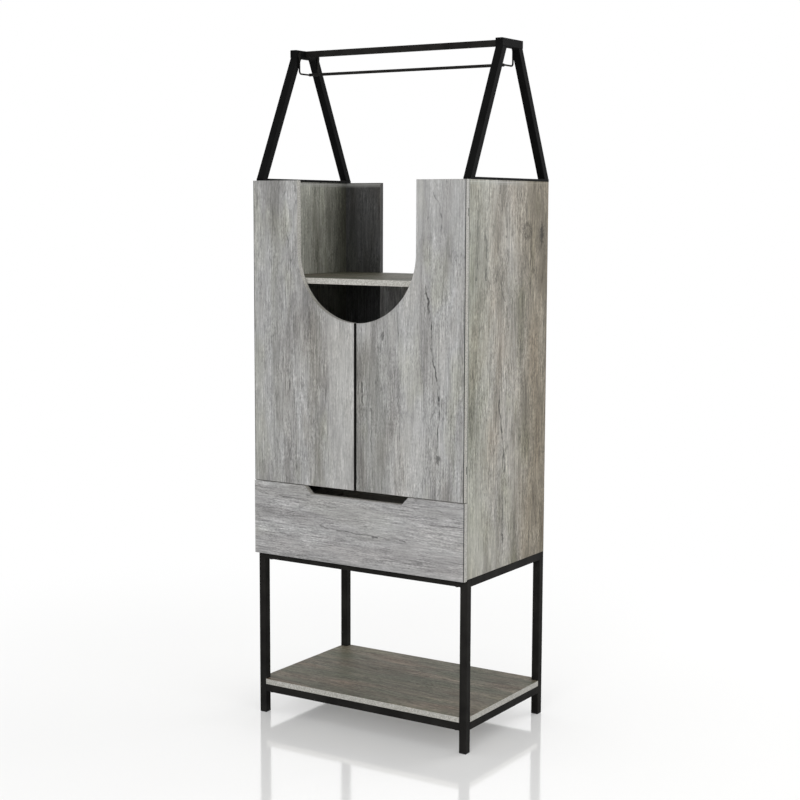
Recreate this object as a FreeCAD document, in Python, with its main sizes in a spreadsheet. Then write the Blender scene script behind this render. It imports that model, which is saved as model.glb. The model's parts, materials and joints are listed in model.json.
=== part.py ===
import FreeCAD, Part
import math
import os
import re
import Sketcher

# Wine cabinet: an open-topped carcass with two doors and a drawer, on a welded tube base,
# with two A-shaped tube frames on top that carry a rail and a thin hanging rod.
# Millimetres. +Z is up, the fronts face -Y, and the origin is on the floor below the middle.

SIZES = {
    # carcass
    "cabinet_width": 655,
    "cabinet_depth": 412,
    "base_height": 452.5,
    "carcass_height": 995.5,
    "board": 15,
    "edge_break": 0.8,
    "stile_width": 116.5,
    "upper_shelf_drop": 252,
    "divider_lift": 3,
    # doors and drawer front
    "front_board": 15,
    "front_gap": 2.5,
    "front_seam": 2,
    "side_reveal": 2,
    "door_gap": 7,
    "drawer_front_height": 198.5,
    "drawer_front_drop": 3,
    "cutout_radius": 182,
    "cutout_depth": 364,
    "pull_width": 324,
    "pull_depth": 20.5,
    # tube base
    "tube": 21,
    "tube_wall": 1.2,
    "tube_round": 1.8,
    "lower_rail_lift": 59.5,
    "glide_foot": 4,
    "glide_plug": 16,
    "glide_round": 1.5,
    "glide_play": 0.3,
    "bolt_radius": 3,
    "bolt_head_radius": 5.5,
    "bolt_head_height": 3,
    "bolt_bite": 11,
    "bolt_inset": 14,
    "hole_play": 0.3,
    # top frames
    "aframe_height": 352,
    "aframe_tube": 21,
    "strip_height": 6,
    "bar_length": 106,
    "bar_vent": 6,
    "strip_screw_spacing": 260,
    "strip_screw_bite": 30,
    "screw_radius": 2,
    "screw_head_radius": 4,
    "screw_head_height": 2,
    "top_rail_size": 16,
    "top_rail_wall": 1,
    "rod_radius": 4,
    "rod_drop": 63,
    "wire_radius": 2.25,
    "wire_spacing": 86,
    "wire_bend": 8,
    "wire_top_inset": 5,
    "weld_play": 0.05,
    # hinges
    "hinge_inset": 4.5,
    "hinge_end": 80,
    "hinge_height": 40,
    "middle_knuckle": 20,
    "knuckle_radius": 3,
    "pin_radius": 1.5,
    "pin_play": 0.05,
    "hinge_play": 0.3,
    "leaf": 1.2,
    "door_leaf_reach": 30,
    "side_leaf_reach": 30,
    "hinge_screw_spacing": 24,
    "hinge_screw_radius": 1.6,
    "hinge_screw_head_radius": 3,
    "hinge_screw_head_height": 1,
    "hinge_screw_bite": 9,
    # magnetic catches
    "catch_offset": 45,
    "catch_length": 46,
    "catch_depth": 15,
    "catch_height": 12,
    "catch_play": 0.3,
    "strike_length": 34,
    "strike_height": 11,
    "strike": 1.2,
    # drawer box
    "drawer_board": 12,
    "drawer_rear_room": 39.5,
    "drawer_height": 110,
    "drawer_lift": 14,
    "drawer_base": 3,
    # ball slides
    "slide_rear_room": 4.5,
    "slide_setback": 3,
    "slide_height": 35,
    "slide_thickness": 12.7,
    "slide_steel": 1.2,
    "slide_lip": 9,
    "slide_return": 2.5,
    "slide_axis": 45,
    "runner_lip": 8.2,
    "ball_radius": 2.3,
    "ball_offset": 5,
    "ball_spacing": 22,
    "slide_play": 0.35,
    "cage_steel": 0.6,
    "cage_offset": 2,
    "cage_reach": 7.2,
    "cage_length": 104,
    "cage_setback": 122,
    "ball_play": 0.15,
}
BALLS_PER_ROW = 5

doc = FreeCAD.newDocument("wine_cabinet")
sheet = doc.addObject("Spreadsheet::Sheet", "Sizes")
for row, (alias, value) in enumerate(SIZES.items(), start=1):
    sheet.set(f"A{row}", alias)
    sheet.set(f"B{row}", str(value))
    sheet.setAlias(f"B{row}", alias)
doc.recompute()

# Places worked out from the sizes, as expressions on the sheet
half = "(cabinet_width / 2)"
inner = "(cabinet_width / 2 - board)"
front_face = "(-(cabinet_depth + front_gap + front_board) / 2)"
door_back = f"({front_face} + front_board)"
carcass_front = f"({door_back} + front_gap)"
rear = f"({carcass_front} + cabinet_depth)"
middle = f"({carcass_front} + cabinet_depth / 2)"
shelf_rear = f"({rear} - board)"
body_top = "(base_height + carcass_height)"
top = f"({body_top} + aframe_height)"
strip_top = f"({body_top} + strip_height)"
shelf_top = f"({body_top} - upper_shelf_drop)"
drawer_front_low = "(base_height - drawer_front_drop)"
drawer_front_top = f"({drawer_front_low} + drawer_front_height)"
door_low = f"({drawer_front_top} + front_seam)"
divider_low = f"({drawer_front_top} + divider_lift)"
divider_top = f"({divider_low} + board)"
lower_rail_top = "(lower_rail_lift + tube)"

SIDES = (("left", "-1"), ("right", "1"))
ENDS = (("front", "-1"), ("rear", "1"))

PLANES = {"XY": ("XY_Plane", ""), "XZ": ("XZ_Plane", "-"), "YZ": ("YZ_Plane", "")}
nodes = []


def bound(text):
    # puts the sheet's name before each size in an expression
    return re.sub(r"[a-z_]+", lambda word: ("Sizes." if word.group() in SIZES else "") + word.group(), text)


def part(label):
    body = doc.addObject("PartDesign::Body", label)
    body.Label = label
    return body


def keep(shape_object):
    nodes.append(shape_object)
    return shape_object


def group(label, members):
    compound = doc.addObject("Part::Compound", label)
    compound.Label = label
    compound.Links = members
    return keep(compound)


def hold(sketch, kind, element, point, text, start):
    # one distance from the origin, or a radius, tied to an expression
    if kind == "Radius":
        constraint = Sketcher.Constraint(kind, element, start)
    else:
        constraint = Sketcher.Constraint(kind, -1, 1, element, point, start)
    number = sketch.addConstraint(constraint)
    sketch.setExpression(f"Constraints[{number}]", bound(text))


def draw_polygon(sketch, corners):
    count = len(corners)
    turns = [2 * math.pi * step / count for step in range(count)]
    ring = [FreeCAD.Vector(math.cos(turn), math.sin(turn), 0) for turn in turns]
    lines = [
        sketch.addGeometry(Part.LineSegment(ring[step], ring[(step + 1) % count]))
        for step in range(count)
    ]
    for step, line in enumerate(lines):
        sketch.addConstraint(Sketcher.Constraint("Coincident", line, 2, lines[(step + 1) % count], 1))
    for line, start, (across, up) in zip(lines, ring, corners):
        hold(sketch, "DistanceX", line, 1, across, start.x)
        hold(sketch, "DistanceY", line, 1, up, start.y)


def draw_circle(sketch, across, up, radius):
    round_line = sketch.addGeometry(Part.Circle(FreeCAD.Vector(0, 0, 0), FreeCAD.Vector(0, 0, 1), 1))
    hold(sketch, "DistanceX", round_line, 3, across, 0)
    hold(sketch, "DistanceY", round_line, 3, up, 0)
    hold(sketch, "Radius", round_line, 0, radius, 1)


def feature(body, kind, plane, outlines, low, high):
    # a Pad or Pocket of the outlines between two heights along the plane's axis
    role, sign = PLANES[plane]
    sketch = body.newObject("Sketcher::SketchObject", f"{body.Name}_outline")
    support = next(face for face in body.Origin.OriginFeatures if face.Role == role)
    sketch.AttachmentSupport = [(support, "")]
    sketch.MapMode = "FlatFace"
    sketch.setExpression("AttachmentOffset.Base.z", bound(f"{sign}(({low}) + ({high})) / 2"))
    for outline in outlines:
        if isinstance(outline, tuple):
            draw_circle(sketch, *outline)
        else:
            draw_polygon(sketch, outline)
    step = body.newObject(f"PartDesign::{kind}", f"{body.Name}_{kind}")
    step.Profile = sketch
    step.Midplane = True
    step.setExpression("Length", bound(f"abs(({high}) - ({low}))"))
    return step


def add(body, plane, outlines, low, high):
    return feature(body, "Pad", plane, outlines, low, high)


def cut(body, plane, outlines, low, high):
    return feature(body, "Pocket", plane, outlines, low, high)


def rectangle(across_low, across_high, up_low, up_high):
    return [(across_low, up_low), (across_high, up_low), (across_high, up_high), (across_low, up_high)]


def board_part(label, x_low, x_high, y_low, y_high, z_low, z_high):
    body = part(label)
    add(body, "XY", [rectangle(x_low, x_high, y_low, y_high)], z_low, z_high)
    return keep(body)


def on_side(body, axis, high):
    # names of the edges that lie in the body's outermost plane on one side
    box = body.Shape.BoundBox
    limit = getattr(box, f"{axis}Max" if high else f"{axis}Min")
    return [
        f"Edge{number}" for number, edge in enumerate(body.Shape.Edges, start=1)
        if abs(getattr(edge.BoundBox, f"{axis}Max") - limit) < 1e-4
        and abs(getattr(edge.BoundBox, f"{axis}Min") - limit) < 1e-4
    ]


def ease(body, kind, size, edges):
    # rounds or chamfers the named edges
    sharp = body.Tip
    step = body.newObject(f"PartDesign::{kind}", f"{body.Name}_{kind}")
    step.Base = (sharp, edges)
    step.setExpression("Radius" if kind == "Fillet" else "Size", bound(size))
    doc.recompute()


def break_edges(body, axis, high):
    doc.recompute()
    ease(body, "Chamfer", "edge_break", on_side(body, axis, high))


def round_corners(body, radius, axis, along=None):
    # rounds a tube's four long outer edges, which lie in its two outermost planes on an axis
    doc.recompute()
    edges = {f"Edge{number}": edge for number, edge in enumerate(body.Shape.Edges, start=1)}
    if along is None:
        longest = max(edges.values(), key=lambda edge: edge.Length)
        along = longest.tangentAt(longest.FirstParameter)
    outer = on_side(body, axis, False) + on_side(body, axis, True)
    long_edges = [
        name for name in outer
        if abs(abs(edges[name].tangentAt(edges[name].FirstParameter) * along) - 1) < 1e-6
    ]
    ease(body, "Fillet", radius, long_edges)


def square_tube(label, plane, across, up, low, high, size="tube", wall="tube_wall"):
    # a hollow square tube between two heights, from the low corner of its section
    body = part(label)
    outer = rectangle(across, f"{across} + {size}", up, f"{up} + {size}")
    bore = rectangle(
        f"{across} + {wall}", f"{across} + {size} - {wall}", f"{up} + {wall}", f"{up} + {size} - {wall}"
    )
    add(body, plane, [outer, bore], low, high)
    round_corners(body, "tube_round", "Y" if plane == "YZ" else "X")
    return keep(body)


def screw_part(label, plane, across, up, seat, direction, bite, radius, head_radius, head_height):
    # a headed screw: its head stands on the seat and its shank goes the other way
    body = part(label)
    add(body, plane, [(across, up, head_radius)], seat, f"{seat} - {direction} * ({head_height})")
    add(body, plane, [(across, up, radius)], seat, f"{seat} + {direction} * ({bite})")
    return body


# Carcass

side_panels = {}
for side, sign in SIDES:
    side_panels[side] = board_part(
        f"{side}_side_panel", f"{sign} * {half}", f"{sign} * {inner}",
        carcass_front, rear, "base_height", body_top
    )
    break_edges(side_panels[side], "X", side == "right")

bottom_panel = board_part(
    "bottom_panel", f"-{inner}", inner, carcass_front, shelf_rear, "base_height", "base_height + board"
)
divider_panel = board_part(
    "divider_panel", f"-{inner}", inner, carcass_front, shelf_rear, divider_low, divider_top
)
board_part("upper_shelf", f"-{inner}", inner, carcass_front, shelf_rear, f"{shelf_top} - board", shelf_top)

stile_inner = f"({inner} - stile_width)"
back_stiles = {}
for side, sign in SIDES:
    back_stiles[side] = board_part(
        f"{side}_back_stile", f"{sign} * {inner}", f"{sign} * {stile_inner}", shelf_rear, rear,
        "base_height", body_top
    )
board_part("back_panel", f"-{stile_inner}", stile_inner, shelf_rear, rear, "base_height", shelf_top)

# Tube base: legs, upper rails under the carcass and lower rails under the shelf

leg_low = "glide_foot"
leg_inner = f"({half} - tube)"
foot_glides = []
for end, depth_sign in ENDS:
    for side, sign in SIDES:
        leg_x = f"-{half}" if side == "left" else leg_inner
        leg_y = carcass_front if end == "front" else f"({rear} - tube)"
        square_tube(f"{end}_{side}_leg", "XY", leg_x, leg_y, leg_low, "base_height")
        glide = part(f"{end}_{side}_glide")
        add(glide, "XY", [rectangle(leg_x, f"{leg_x} + tube", leg_y, f"{leg_y} + tube")], "0", leg_low)
        round_corners(glide, "tube_round", "X", FreeCAD.Vector(0, 0, 1))
        plug = "(tube_wall + glide_play)"
        add(
            glide, "XY",
            [rectangle(
                f"{leg_x} + {plug}", f"{leg_x} + tube - {plug}",
                f"{leg_y} + {plug}", f"{leg_y} + tube - {plug}"
            )],
            leg_low, f"{leg_low} + glide_plug"
        )
        doc.recompute()
        ease(glide, "Chamfer", "glide_round", on_side(glide, "Z", False))
        foot_glides.append(glide)
group("foot_glides", foot_glides)

RAIL_LEVELS = (("upper", "(base_height - tube)"), ("lower", "lower_rail_lift"))
rails = {}
for level, rail_low in RAIL_LEVELS:
    for end, depth_sign in ENDS:
        rail_y = carcass_front if end == "front" else f"({rear} - tube)"
        rails[level, end] = square_tube(
            f"{level}_{end}_rail", "YZ", rail_y, rail_low, f"-{leg_inner}", leg_inner
        )
    for side, sign in SIDES:
        rail_x = f"-{half}" if side == "left" else leg_inner
        square_tube(
            f"{level}_{side}_rail", "XZ", rail_x, rail_low, f"{carcass_front} + tube", f"{rear} - tube"
        )

# Lower shelf: lies on the lower rails, flush with the legs, with a notch round each leg

notch_x = f"({leg_inner} - hole_play)"
notch_front = f"({carcass_front} + tube + hole_play)"
notch_rear = f"({rear} - tube - hole_play)"
lower_shelf = part("lower_shelf")
add(
    lower_shelf, "XY",
    [[
        (f"-{notch_x}", carcass_front), (notch_x, carcass_front),
        (notch_x, notch_front), (half, notch_front),
        (half, notch_rear), (notch_x, notch_rear),
        (notch_x, rear), (f"-{notch_x}", rear),
        (f"-{notch_x}", notch_rear), (f"-{half}", notch_rear),
        (f"-{half}", notch_front), (f"-{notch_x}", notch_front),
    ]],
    lower_rail_top, f"{lower_rail_top} + board"
)
break_edges(lower_shelf, "Z", True)
keep(lower_shelf)
carried_boards = {"upper": bottom_panel, "lower": lower_shelf}

# Bolts that come up through the front and rear rails into the boards above them

bolts = []
for level, rail_low in RAIL_LEVELS:
    for end, depth_sign in ENDS:
        into_stile = level == "upper" and end == "rear"
        bolt_y = f"({carcass_front} + tube / 2)" if end == "front" else f"({rear} - tube / 2)"
        if into_stile:
            bolt_y = f"({rear} - board / 2)"
        for side, sign in SIDES:
            bolt_x = f"{sign} * ({leg_inner} - bolt_inset)"
            hole = (bolt_x, bolt_y, "bolt_radius + hole_play")
            carried = back_stiles[side] if into_stile else carried_boards[level]
            cut(rails[level, end], "XY", [hole], rail_low, f"{rail_low} + tube")
            cut(carried, "XY", [hole], f"{rail_low} + tube", f"{rail_low} + tube + bolt_bite + hole_play")
            bolts.append(screw_part(
                f"{level}_{end}_{side}_bolt", "XY", bolt_x, bolt_y, rail_low, "1", "tube + bolt_bite",
                "bolt_radius", "bolt_head_radius", "bolt_head_height"
            ))
group("frame_bolts", bolts)

# Top frames: two leaning legs under a short capped bar, on a flat strip

leg_run = "((cabinet_depth - bar_length) / 2)"
leg_rise = "(aframe_height - strip_height - aframe_tube)"
leg_cut = f"(aframe_tube * sqrt(1 + ({leg_run} / {leg_rise})^2))"
wall_cut = f"({leg_cut} * tube_wall / aframe_tube)"
bar_low = f"({top} - aframe_tube)"
aframe_inner = f"({half} - aframe_tube)"
foot_outer = "(cabinet_depth / 2)"
bar_outer = "(bar_length / 2)"


def leaning(depth_sign, outer_inset, inner_inset):
    # outline of a leaning leg or of its bore, set in from the leg's outer edge
    return [
        (f"{middle} + {depth_sign} * ({foot_outer} - {outer_inset})", strip_top),
        (f"{middle} + {depth_sign} * ({foot_outer} - {inner_inset})", strip_top),
        (f"{middle} + {depth_sign} * ({bar_outer} - {inner_inset})", bar_low),
        (f"{middle} + {depth_sign} * ({bar_outer} - {outer_inset})", bar_low),
    ]


strip_screws = []
for side, sign in SIDES:
    outside = f"{sign} * {half}"
    inside = f"{sign} * {aframe_inner}"
    bore_outside = f"{sign} * ({half} - tube_wall)"
    bore_inside = f"{sign} * ({aframe_inner} + tube_wall)"
    strip = board_part(f"{side}_aframe_strip", outside, inside, carcass_front, rear, body_top, strip_top)
    bar_left = f"-{half}" if side == "left" else aframe_inner
    bar = square_tube(
        f"{side}_aframe_bar", "XZ", bar_left, bar_low, f"{middle} - {bar_outer}", f"{middle} + {bar_outer}",
        "aframe_tube"
    )
    bar_bore = rectangle(bore_outside, bore_inside, f"{bar_low} + tube_wall", f"{top} - tube_wall")
    for end, depth_sign in ENDS:
        screw_x = f"{sign} * ({half} - board / 2)"
        screw_y = f"{middle} + {depth_sign} * strip_screw_spacing / 2"
        screw_seat = f"({strip_top} - screw_head_height)"
        hole = (screw_x, screw_y, "screw_radius + hole_play")
        head_recess = (screw_x, screw_y, "screw_head_radius + hole_play")
        cut(strip, "XY", [hole], body_top, strip_top)
        cut(strip, "XY", [head_recess], screw_seat, strip_top)
        cut(side_panels[side], "XY", [hole], f"{screw_seat} - strip_screw_bite - hole_play", body_top)
        strip_screws.append(screw_part(
            f"{side}_{end}_strip_screw", "XY", screw_x, screw_y, screw_seat, "-1", "strip_screw_bite",
            "screw_radius", "screw_head_radius", "screw_head_height"
        ))
        leg = part(f"{side}_aframe_{end}_leg")
        add(leg, "YZ", [leaning(depth_sign, "0", leg_cut)], outside, inside)
        leg_bore = leaning(depth_sign, wall_cut, f"({leg_cut} - {wall_cut})")
        cut(leg, "YZ", [leg_bore], bore_outside, bore_inside)
        round_corners(leg, "tube_round", "X")
        keep(leg)
        bar_end = f"({middle} + {depth_sign} * {bar_outer})"
        add(bar, "XZ", [bar_bore], bar_end, f"{bar_end} - {depth_sign} * tube_wall")
        vent_x = f"{sign} * ({half} - aframe_tube / 2)"
        vent_y = f"({middle} + {depth_sign} * ({bar_outer} - {leg_cut} / 2))"
        vent = rectangle(
            f"{vent_x} - bar_vent / 2", f"{vent_x} + bar_vent / 2",
            f"{vent_y} - bar_vent / 2", f"{vent_y} + bar_vent / 2"
        )
        cut(bar, "XY", [vent], bar_low, f"{bar_low} + tube_wall")
group("strip_screws", strip_screws)

square_tube(
    "top_rail", "YZ", f"({middle} - top_rail_size / 2)", f"({top} - top_rail_size)",
    f"-{aframe_inner}", aframe_inner, "top_rail_size", "top_rail_wall"
)

# Hanging rod, carried at each end by a bent wire that is welded to the bar's inner face

rod_height = f"({top} - rod_drop)"
wire_x = f"({aframe_inner} - wire_radius - weld_play)"
bend_y = "(wire_spacing / 2 - wire_bend)"
bend_height = f"({rod_height} + wire_bend)"


def turned(x_direction, y_direction):
    z_direction = x_direction.cross(y_direction)
    return FreeCAD.Rotation(x_direction, y_direction, z_direction, "ZXY")


def solid_at(kind, label, sizes, x, y, z, rotation):
    shape_object = doc.addObject(f"Part::{kind}", label)
    shape_object.Placement = FreeCAD.Placement(FreeCAD.Vector(), rotation)
    for name, text in sizes.items():
        shape_object.setExpression(name, bound(text))
    for axis, text in zip("xyz", (x, y, z)):
        shape_object.setExpression(f"Placement.Base.{axis}", bound(text))
    return shape_object


UPRIGHT = FreeCAD.Rotation()
ALONG_Y = FreeCAD.Rotation(FreeCAD.Vector(1, 0, 0), -90)
ALONG_X = FreeCAD.Rotation(FreeCAD.Vector(0, 1, 0), 90)
DOWN = FreeCAD.Vector(0, 0, -1)
FORWARD = FreeCAD.Vector(0, -1, 0)
BACKWARD = FreeCAD.Vector(0, 1, 0)

for side, sign in SIDES:
    wire_across = f"{sign} * {wire_x}"
    runs = []
    for end, depth_sign in ENDS:
        upright_y = f"{middle} + {depth_sign} * wire_spacing / 2"
        runs.append(solid_at(
            "Cylinder", f"{side}_{end}_wire",
            {"Radius": "wire_radius", "Height": f"{top} - wire_top_inset - {bend_height}"},
            wire_across, upright_y, bend_height, UPRIGHT
        ))
        swing = turned(FORWARD, DOWN) if end == "front" else turned(DOWN, BACKWARD)
        bend = solid_at(
            "Torus", f"{side}_{end}_bend", {"Radius1": "wire_bend", "Radius2": "wire_radius"},
            wire_across, f"{middle} + {depth_sign} * {bend_y}", bend_height, swing
        )
        bend.Angle3 = 90
        runs.append(bend)
    runs.append(solid_at(
        "Cylinder", f"{side}_low_wire", {"Radius": "wire_radius", "Height": f"2 * {bend_y}"},
        wire_across, f"{middle} - {bend_y}", rod_height, ALONG_Y
    ))
    hanger = doc.addObject("Part::MultiFuse", f"{side}_wire_hanger")
    hanger.Label = f"{side}_wire_hanger"
    hanger.Shapes = runs
    keep(hanger)

rod_half = f"({wire_x} - wire_radius - weld_play)"
keep(solid_at(
    "Cylinder", "hanging_rod", {"Radius": "rod_radius", "Height": f"2 * {rod_half}"},
    f"-{rod_half}", middle, rod_height, ALONG_X
))

# Doors: full overlay, with a shared U-shaped cut-out that is open at the top

door_outer = f"({half} - side_reveal)"
cutout_centre = f"({body_top} - cutout_depth + cutout_radius)"
doors = {}
for side, sign in SIDES:
    door = part(f"{side}_door")
    add(
        door, "XZ",
        [rectangle(f"{sign} * {door_outer}", f"{sign} * door_gap / 2", door_low, body_top)],
        front_face, door_back
    )
    cut(door, "XZ", [("0", cutout_centre, "cutout_radius")], front_face, door_back)
    cut(
        door, "XZ",
        [rectangle("-cutout_radius", "cutout_radius", cutout_centre, f"{body_top} + front_seam")],
        front_face, door_back
    )
    break_edges(door, "Y", False)
    doors[side] = keep(door)

# Hinges: a flush leaf in the door's back, a leaf that wraps onto the side panel, and a pin

hinge_y = f"({door_back} - hinge_inset)"
hinge_x = f"({door_outer} - hinge_inset)"
plate_rear = f"({hinge_y} + knuckle_radius)"
plate_front = f"({plate_rear} - leaf)"
side_leaf_x = f"({inner} - leaf)"
leaf_notch = f"({side_leaf_x} - 4 * hinge_play)"
pocket = "(knuckle_radius + hinge_play)"
end_knuckle = "((hinge_height - middle_knuckle) / 2)"
HINGES = (("lower", f"({door_low} + hinge_end)"), ("upper", f"({body_top} - hinge_end)"))


def spread(sign, near, far):
    return (f"{sign} * ({near})", f"{sign} * ({far})")


for side, sign in SIDES:
    side_leaves = []
    door_leaves = []
    pins = []
    axis_x = f"{sign} * {hinge_x}"
    leaf_end = f"({hinge_x} - door_leaf_reach)"
    for level, hinge_z in HINGES:
        hinge_low = f"({hinge_z} - hinge_height / 2)"
        hinge_high = f"({hinge_z} + hinge_height / 2)"
        middle_low = f"({hinge_z} - middle_knuckle / 2 + hinge_play)"
        middle_high = f"({hinge_z} + middle_knuckle / 2 - hinge_play)"
        bore = (axis_x, hinge_y, "pin_radius + pin_play")

        recess = rectangle(
            *spread(sign, f"{hinge_x} + {pocket}", f"{leaf_end} - hinge_play"),
            f"{hinge_low} - hinge_play", f"{hinge_high} + hinge_play"
        )
        cut(doors[side], "XZ", [recess], plate_front, door_back)
        knuckle_pocket = rectangle(
            *spread(sign, f"{hinge_x} + {pocket}", f"{hinge_x} - {pocket}"),
            f"{hinge_low} - hinge_play", f"{hinge_high} + hinge_play"
        )
        cut(doors[side], "XZ", [knuckle_pocket], f"{hinge_y} - {pocket}", door_back)
        swing_notch = rectangle(
            *spread(sign, f"{hinge_x} + knuckle_radius", f"{door_outer} + hinge_play"),
            middle_low, middle_high
        )
        cut(doors[side], "XZ", [swing_notch], hinge_y, door_back)

        side_leaf = part(f"{side}_{level}_side_leaf")
        add(side_leaf, "XY", [(axis_x, hinge_y, "knuckle_radius")], middle_low, middle_high)
        add(
            side_leaf, "XY",
            [[
                (axis_x, plate_front), (f"{sign} * {side_leaf_x}", plate_front),
                (f"{sign} * {side_leaf_x}", carcass_front), (f"{sign} * {inner}", carcass_front),
                (f"{sign} * {inner}", plate_rear), (axis_x, plate_rear),
            ]],
            middle_low, middle_high
        )
        add(
            side_leaf, "XY",
            [rectangle(
                *spread(sign, side_leaf_x, inner), carcass_front, f"{carcass_front} + side_leaf_reach"
            )],
            hinge_low, hinge_high
        )
        cut(side_leaf, "XY", [bore], middle_low, middle_high)
        side_leaves.append(side_leaf)

        door_leaf = part(f"{side}_{level}_door_leaf")
        add(
            door_leaf, "XZ",
            [[
                (axis_x, hinge_low), (f"{sign} * {leaf_end}", hinge_low),
                (f"{sign} * {leaf_end}", hinge_high), (axis_x, hinge_high),
                (axis_x, f"{hinge_high} - {end_knuckle}"),
                (f"{sign} * {leaf_notch}", f"{hinge_high} - {end_knuckle}"),
                (f"{sign} * {leaf_notch}", f"{hinge_low} + {end_knuckle}"),
                (axis_x, f"{hinge_low} + {end_knuckle}"),
            ]],
            plate_front, plate_rear
        )
        for knuckle_low, knuckle_high in (
            (hinge_low, f"{hinge_low} + {end_knuckle}"), (f"{hinge_high} - {end_knuckle}", hinge_high)
        ):
            add(door_leaf, "XY", [(axis_x, hinge_y, "knuckle_radius")], knuckle_low, knuckle_high)
        cut(door_leaf, "XY", [bore], hinge_low, hinge_high)
        door_leaves.append(door_leaf)

        pin = part(f"{side}_{level}_pin")
        add(pin, "XY", [(axis_x, hinge_y, "pin_radius")], hinge_low, hinge_high)
        pins.append(pin)

        for place in ("-1", "1"):
            screw_z = f"{hinge_z} + {place} * hinge_screw_spacing / 2"
            side_screw_y = f"{carcass_front} + side_leaf_reach / 2"
            door_screw_x = f"{sign} * ({leaf_notch} + {leaf_end}) / 2"
            side_hole = (side_screw_y, screw_z, "hinge_screw_radius + hole_play")
            door_hole = (door_screw_x, screw_z, "hinge_screw_radius + hole_play")
            cut(side_leaf, "YZ", [side_hole], f"{sign} * {side_leaf_x}", f"{sign} * {inner}")
            cut(
                side_panels[side], "YZ", [side_hole],
                f"{sign} * {inner}", f"{sign} * ({inner} + hinge_screw_bite + hole_play)"
            )
            cut(door_leaf, "XZ", [door_hole], plate_front, plate_rear)
            cut(
                doors[side], "XZ", [door_hole],
                f"{plate_front} - hinge_screw_bite - hole_play", plate_front
            )
            name = "low" if place == "-1" else "high"
            side_leaves.append(screw_part(
                f"{side}_{level}_side_{name}_screw", "YZ", side_screw_y, screw_z, f"{sign} * {side_leaf_x}",
                sign, "leaf + hinge_screw_bite",
                "hinge_screw_radius", "hinge_screw_head_radius", "hinge_screw_head_height"
            ))
            door_leaves.append(screw_part(
                f"{side}_{level}_door_{name}_screw", "XZ", door_screw_x, screw_z, plate_rear,
                "-1", "leaf + hinge_screw_bite",
                "hinge_screw_radius", "hinge_screw_head_radius", "hinge_screw_head_height"
            ))
    group(f"{side}_hinge_side_leaves", side_leaves)
    group(f"{side}_hinge_door_leaves", door_leaves)
    group(f"{side}_hinge_pins", pins)

# Magnetic catches on the divider, with a strike plate on the back of each door

magnets = []
strike_rear = f"({door_back} + strike)"
for side, sign in SIDES:
    magnet = part(f"{side}_magnet")
    add(
        magnet, "XY",
        [rectangle(
            *spread(sign, "catch_offset - catch_length / 2", "catch_offset + catch_length / 2"),
            f"{strike_rear} + catch_play", f"{strike_rear} + catch_play + catch_depth"
        )],
        divider_top, f"{divider_top} + catch_height"
    )
    magnets.append(magnet)
    strike_low = f"({divider_top} + (catch_height - strike_height) / 2)"
    board_part(
        f"{side}_strike_plate",
        *spread(sign, "catch_offset - strike_length / 2", "catch_offset + strike_length / 2"),
        door_back, strike_rear, strike_low, f"{strike_low} + strike_height"
    )
group("door_magnets", magnets)

# Drawer: front with a finger pull cut from its top edge, and a box behind it

pull_half = "(pull_width / 2)"
drawer_front = part("drawer_front")
add(
    drawer_front, "XZ",
    [[
        (f"-{half}", drawer_front_low), (half, drawer_front_low),
        (half, drawer_front_top), (pull_half, drawer_front_top),
        (f"{pull_half} - pull_depth", f"{drawer_front_top} - pull_depth"),
        (f"-{pull_half} + pull_depth", f"{drawer_front_top} - pull_depth"),
        (f"-{pull_half}", drawer_front_top), (f"-{half}", drawer_front_top),
    ]],
    front_face, door_back
)
break_edges(drawer_front, "Y", False)
keep(drawer_front)

box_half = f"({inner} - slide_thickness)"
box_low = "(base_height + board + drawer_lift)"
box_top = f"({box_low} + drawer_height)"
box_rear = f"({shelf_rear} - drawer_rear_room)"
for side, sign in SIDES:
    board_part(
        f"drawer_{side}_side", *spread(sign, box_half, f"{box_half} - drawer_board"),
        door_back, box_rear, box_low, box_top
    )
box_inner = f"({box_half} - drawer_board)"
board_part(
    "drawer_back", f"-{box_inner}", box_inner, f"{box_rear} - drawer_board", box_rear, box_low, box_top
)
board_part(
    "drawer_bottom", f"-{box_half}", box_half, door_back, box_rear, f"{box_low} - drawer_base", box_low
)

# Ball slides: a rail on the side panel, a runner on the drawer and a cage of balls between them

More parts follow.
